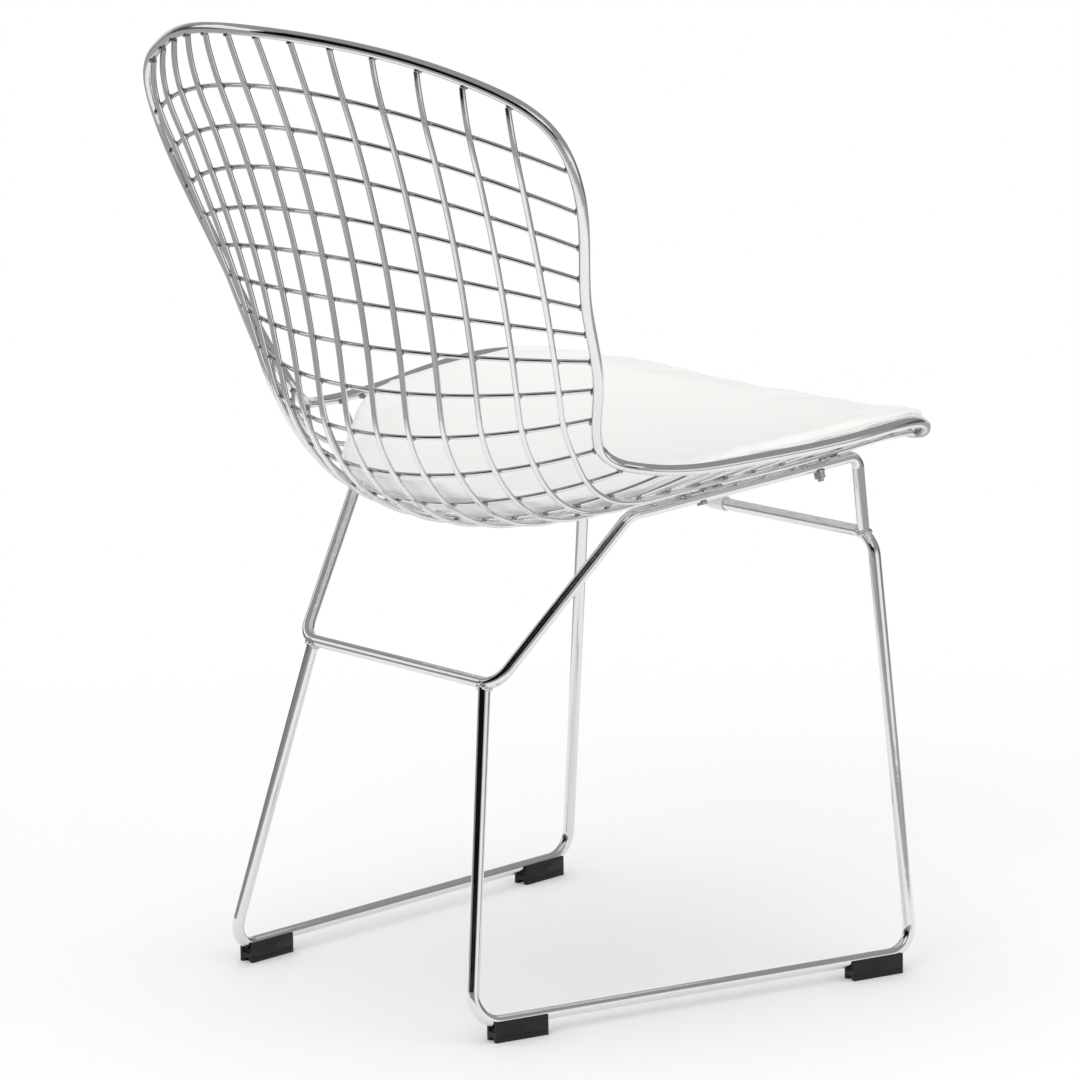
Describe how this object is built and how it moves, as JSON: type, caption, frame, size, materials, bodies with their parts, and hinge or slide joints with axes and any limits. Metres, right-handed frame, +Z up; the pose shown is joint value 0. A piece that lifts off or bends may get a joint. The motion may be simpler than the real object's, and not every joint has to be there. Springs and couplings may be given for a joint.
{
  "type": "wire mesh side chair",
  "caption": "Side chair with a dished wire mesh shell in one closed rim, bolted to a sled base of bent rod with plastic glides, and a loose leatherette seat pad",
  "frame": {"origin": "on the floor under the middle of the chair's box", "axes": "+Z is up, the sitter faces -Y, +X is the sitter's left"},
  "size_m": [0.5266, 0.5784, 0.7678],
  "materials": {
    "chrome_wire": "mirror-bright plating",
    "chrome_rod": "mirror-bright plating",
    "plated_hardware": "bright zinc plating",
    "glide_plastic": "fine moulded texture",
    "clear_plastic": "cloudy clear",
    "leatherette": "fine grain, satin"
  },
  "bodies": {
    "frame": {"rim": "chrome_wire", "cross_wire_01": "chrome_wire", "cross_wire_02": "chrome_wire", "cross_wire_03": "chrome_wire", "cross_wire_04": "chrome_wire", "cross_wire_05": "chrome_wire", "cross_wire_06": "chrome_wire", "cross_wire_07": "chrome_wire", "cross_wire_08": "chrome_wire", "cross_wire_09": "chrome_wire", "cross_wire_10": "chrome_wire", "cross_wire_11": "chrome_wire", "cross_wire_12": "chrome_wire", "cross_wire_13": "chrome_wire", "cross_wire_14": "chrome_wire", "cross_wire_15": "chrome_wire", "cross_wire_16": "chrome_wire", "cross_wire_17": "chrome_wire", "cross_wire_18": "chrome_wire", "cross_wire_19": "chrome_wire", "cross_wire_20": "chrome_wire", "cross_wire_21": "chrome_wire", "cross_wire_22": "chrome_wire", "long_wire_left_1": "chrome_wire", "long_wire_left_2": "chrome_wire", "long_wire_left_3": "chrome_wire", "long_wire_left_4": "chrome_wire", "long_wire_left_5": "chrome_wire", "long_wire_left_6": "chrome_wire", "long_wire_middle": "chrome_wire", "long_wire_right_1": "chrome_wire", "long_wire_right_2": "chrome_wire", "long_wire_right_3": "chrome_wire", "long_wire_right_4": "chrome_wire", "long_wire_right_5": "chrome_wire", "long_wire_right_6": "chrome_wire", "sled_rod": "chrome_rod", "carrier_rod": "chrome_rod", "glide_front_left": "glide_plastic", "glide_front_right": "glide_plastic", "glide_rear_left": "glide_plastic", "glide_rear_right": "glide_plastic", "mount_plate_front_left": "chrome_rod", "mount_plate_front_right": "chrome_rod", "mount_plate_rear_left": "chrome_rod", "mount_plate_rear_right": "chrome_rod", "bolt_front_left": "plated_hardware", "bolt_front_right": "plated_hardware", "bolt_rear_left": "plated_hardware", "bolt_rear_right": "plated_hardware", "washer_front_left": "plated_hardware", "washer_front_right": "plated_hardware", "washer_rear_left": "plated_hardware", "washer_rear_right": "plated_hardware", "nut_front_left": "plated_hardware", "nut_front_right": "plated_hardware", "nut_rear_left": "plated_hardware", "nut_rear_right": "plated_hardware", "bar_sleeve": "clear_plastic"},
    "pad": {"seat_pad": "leatherette"}
  },
  "joints": [
    {"name": "pad_lift_off", "type": "slide", "parent": "frame", "child": "pad", "axis": [0, -0.2, 0.9798], "range_m": [0, 0.35]}
  ]
}
